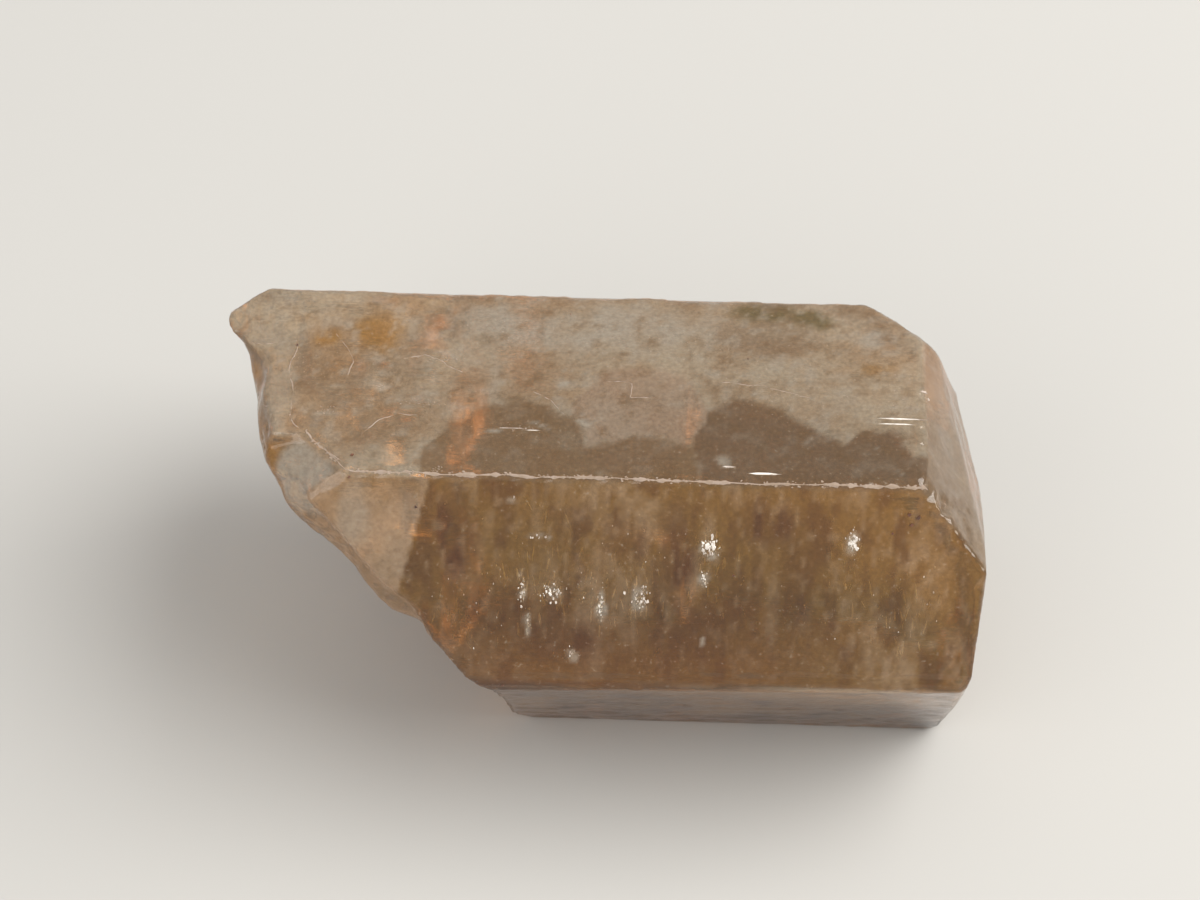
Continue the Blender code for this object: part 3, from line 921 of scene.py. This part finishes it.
def marked_material(name, shade, darker, rough, scale=3.0):
    """Crushed or broken stone with uneven colour and a grainy surface."""
    g = Graph(name)
    uneven = g.noise(g.place, scale, 5.0, 0.7)
    g.feed(g.shader.inputs["Base Color"], g.mix(g.ramp(uneven, 0.35, 0.65), darker, shade))
    g.shader.inputs["Roughness"].default_value = rough
    g.shader.inputs["IOR"].default_value = APATITE_IOR
    g.feed(g.shader.inputs["Normal"], g.bump(g.noise(g.place, 14.0, 3.0, 0.6), 0.02, 0.6))
    return g.material


def scatter(shards, surface, zones, place_of, along, facing, depths, slender=(0.15, 0.6)):
    """Flakes in clusters, lying near one face."""
    for x, y, half_x, half_y, count, size in zones:
        for _ in range(count):
            dx, dy = shards.random.normal(0.0, 0.5, 2)
            wanted = place_of(x + dx * half_x, y + dy * half_y)
            found, way = surface.nearest(wanted)
            if (found - wanted).length > 0.4:
                continue
            depth = shards.random.uniform(*depths)
            long = size * shards.random.uniform(0.3, 1.0)
            thin = long * shards.random.uniform(*slender)
            shards.flake(found - way * depth, shards.tilted(facing, 0.25),
                         shards.tilted(along, 0.15), long, thin, FLAKE_THICKNESS)


class APATITE_OT_ridge(bpy.types.Operator):
    """Makes the bruised white lines along the ridge and the other long edges"""

    bl_idname = "apatite.ridge"
    bl_label = "Bruised edges"

    def execute(self, context):
        settings = context.scene.apatite_marks
        s = Shades(settings)
        surface, shards = Surface(), Shards(5)
        width = settings.ridge_width / MM
        edges = (
            ((on_top(-9.45, -2.20), on_top(-8.05, -3.70), on_top(-7.6, -3.79)), 0.8, 24),
            ((on_top(-7.7, -3.79), on_top(10.7, -3.79)), 1.0, 130),
            ((on_top(-11.2, 3.79), on_top(8.2, 3.79)), 0.4, 60),
        )
        for n, (corners, share, count) in enumerate(edges):
            line = wavy(corners, 0.08, 0.035, 60 + n)
            met = [surface.nearest(p) for p in line]
            widths = uneven_widths(len(line), width * share, 70 + n)
            facing = RIDGE_NORMAL if n else TOP_NORMAL
            shards.lip([found for found, _ in met], [facing] * len(line), widths,
                       RIDGE_RISE, RIDGE_SUNK)
            for _ in range(count):
                at = int(shards.random.integers(1, len(line) - 1))
                off = Vector(shards.random.normal(0.0, 0.05, 3))
                found, way = surface.nearest(met[at][0] + off)
                long = shards.random.uniform(0.02, 0.06) * (0.5 + share)
                shards.flake(found - way * 0.004, shards.tilted(way, 0.2),
                             shards.tilted(ALONG, 0.3), long, long * 0.6, FLAKE_THICKNESS)
        shards.piece("ridge_bruise", marked_material(
            "crushed_stone", s.crushed, s.stain, 0.85))
        return {"FINISHED"}


class APATITE_OT_cracks(bpy.types.Operator):
    """Makes the thin white cracks and the bruised spots of the top face"""

    bl_idname = "apatite.cracks"
    bl_label = "Cracks and bruised spots"

    def execute(self, context):
        settings = context.scene.apatite_marks
        s = Shades(settings)
        surface, shards = Surface(), Shards(6)
        for n, corners in enumerate(TOP_CRACKS):
            line = wavy([on_top(x, y) for x, y in corners], 0.05, 0.085, 80 + n)
            met = [surface.nearest(p) for p in line]
            widths = uneven_widths(len(line), settings.crack_width / MM, 90 + n, 0.08)
            shards.lip([found for found, _ in met], [way for _, way in met], widths,
                       CRACK_RISE, CRACK_SUNK)
        scatter(shards, surface, TOP_BRUISES, on_top, ALONG, TOP_NORMAL, (0.0, 0.01))
        shards.piece("white_cracks", marked_material(
            "cracked_stone", s.crushed, s.stain, 0.6))
        return {"FINISHED"}


class APATITE_OT_glints(bpy.types.Operator):
    """Makes the painted glints, bright white bars and flakes that stand for reflections, and the
    sparkling slivers
    """

    bl_idname = "apatite.glints"
    bl_label = "Glints"

    def execute(self, context):
        s = Shades(context.scene.apatite_marks)
        surface, bright = Surface(), Shards(7)
        # Painted glints: flat white flakes on the top and front faces that stand for reflections.
        for x, y, half_x, half_y in TOP_GLINTS:
            found, way = surface.nearest(on_top(x, y))
            bright.flake(found, way, ALONG, half_x * 1.1, half_y * 1.2, 0.03)
        scatter(bright, surface, FRONT_GLINTS, on_front, DOWN_SLOPE, FRONT_NORMAL, (0.0, 0.005),
                (0.3, 0.8))
        bright.piece("painted_glints", marked_material(
            "painted_glint_flakes", s.glint, s.crushed, 0.2, 1.0))
        # Sparkles: crack flakes in the front, partly painted bright as glints.
        sparkles = Shards(8)
        scatter(sparkles, surface, FRONT_SPARKLES, on_front, DOWN_SLOPE, FRONT_NORMAL,
                (0.0, 0.04))
        sparkles.piece("front_sparkles", marked_material(
            "veil_flakes", s.glint, s.veil, 0.25, 1.6))
        return {"FINISHED"}


class APATITE_OT_veils(bpy.types.Operator):
    """Makes the streaky veils inside the stone"""

    bl_idname = "apatite.veils"
    bl_label = "Veils inside"

    def execute(self, context):
        s = Shades(context.scene.apatite_marks)
        surface, shards = Surface(), Shards(9)
        scatter(shards, surface, INNER_VEILS, on_front, DOWN_SLOPE, FRONT_NORMAL, (0.15, 1.6),
                (0.05, 0.14))
        shards.piece("inner_veils", marked_material(
            "veil_slivers", s.glint, s.veil, 0.4, 1.2))
        return {"FINISHED"}


class APATITE_OT_specks(bpy.types.Operator):
    """Makes the small dark inclusions"""

    bl_idname = "apatite.specks"
    bl_label = "Dark specks"

    def execute(self, context):
        s = Shades(context.scene.apatite_marks)
        surface, shards = Surface(), Shards(11)
        wanted = [(on_top(x, y), size) for x, y, size in TOP_SPECKS]
        wanted += [(on_front(x, down), size) for x, down, size in FRONT_SPECKS]
        for place, size in wanted:
            found, way = surface.nearest(place)
            shards.flake(found, way, shards.tilted(DOWN_SLOPE, 0.8), size, size * 0.8, size * 0.6)
        shards.piece("dark_specks", marked_material(
            "dark_inclusions", s.speck, s.speck_rim, 0.35))
        return {"FINISHED"}


# ---------------------------------------------------------------- stage


def stage_material(settings):
    """Matt pale floor."""
    g = Graph("pale_floor")
    g.shader.inputs["Base Color"].default_value = (*settings.floor, 1.0)
    g.shader.inputs["Roughness"].default_value = FLOOR_ROUGHNESS
    return g.material


def soft_light(name, place, power):
    """A large square light that looks at the crystal."""
    lamp = bpy.data.lights.new(name, "AREA")
    lamp.size = LAMP_SIZE
    lamp.energy = power
    lamp.color = LAMP_COLOUR
    ob = bpy.data.objects.new(name, lamp)
    ob.location = place
    ob.rotation_euler = (LAMP_AIM - Vector(place)).to_track_quat("-Z", "Y").to_euler()
    bpy.context.scene.collection.objects.link(ob)


class APATITE_OT_stage(bpy.types.Operator):
    """Makes the floor, the lights and the camera"""

    bl_idname = "apatite.stage"
    bl_label = "Stage"

    def execute(self, context):
        settings = context.scene.apatite_stage
        bm = bmesh.new()
        bmesh.ops.create_circle(
            bm, cap_ends=True, segments=FLOOR_SIDES, radius=settings.floor_radius)
        bmesh.ops.translate(bm, verts=bm.verts, vec=(0.0, 0.0, -FLOOR_DROP))
        mesh = bpy.data.meshes.new("floor")
        bm.to_mesh(mesh)
        bm.free()
        mesh.materials.append(stage_material(settings))
        add("floor", mesh)
        world = bpy.data.worlds.new("studio")
        world.use_nodes = True
        room = world.node_tree.nodes["Background"]
        room.inputs["Color"].default_value = ROOM_COLOUR
        room.inputs["Strength"].default_value = settings.light
        context.scene.world = world
        soft_light("main_light", MAIN_LIGHT, settings.key)
        soft_light("fill_light", FILL_LIGHT, settings.fill)
        context.scene.view_settings.view_transform = "Standard"
        a, e = settings.azimuth, settings.elevation
        right = Vector((math.cos(a), math.sin(a), 0.0))
        ahead = Vector((-math.sin(a) * math.cos(e), math.cos(a) * math.cos(e), -math.sin(e)))
        up = right.cross(ahead)
        lens = bpy.data.cameras.new("camera")
        lens.lens = settings.lens
        lens.sensor_width = SENSOR_WIDTH
        lens.clip_start = NEAREST_SEEN
        lens.clip_end = FARTHEST_SEEN
        camera = bpy.data.objects.new("camera", lens)
        camera.matrix_world = Matrix((right, up, -ahead)).transposed().to_4x4()
        camera.location = (AXIS * MM - right * settings.aside + up * settings.above
                           - ahead * settings.distance)
        context.scene.collection.objects.link(camera)
        context.scene.camera = camera
        return {"FINISHED"}


class APATITE_PT_crystal(bpy.types.Panel):
    """The steps in order"""

    bl_idname = "APATITE_PT_crystal"
    bl_label = "Apatite crystal"
    bl_space_type = "VIEW_3D"
    bl_region_type = "UI"
    bl_category = "Crystal"

    def draw(self, context):
        for operator in OPERATORS:
            self.layout.operator(operator.bl_idname)


OPERATORS = (APATITE_OT_stage, APATITE_OT_body, APATITE_OT_ridge, APATITE_OT_cracks,
             APATITE_OT_glints, APATITE_OT_veils, APATITE_OT_specks)
CLASSES = (StoneSettings, MarkSettings, StageSettings, *OPERATORS, APATITE_PT_crystal)


def register():
    for cls in CLASSES:
        bpy.utils.register_class(cls)
    bpy.types.Scene.apatite_stone = bpy.props.PointerProperty(type=StoneSettings)
    bpy.types.Scene.apatite_marks = bpy.props.PointerProperty(type=MarkSettings)
    bpy.types.Scene.apatite_stage = bpy.props.PointerProperty(type=StageSettings)


def unregister():
    del bpy.types.Scene.apatite_stage
    del bpy.types.Scene.apatite_marks
    del bpy.types.Scene.apatite_stone
    for cls in reversed(CLASSES):
        bpy.utils.unregister_class(cls)


def main():
    register()
    bpy.ops.apatite.stage()
    bpy.ops.apatite.body()
    bpy.ops.apatite.ridge()
    bpy.ops.apatite.cracks()
    bpy.ops.apatite.glints()
    bpy.ops.apatite.veils()
    bpy.ops.apatite.specks()


if __name__ == "__main__":
    main()
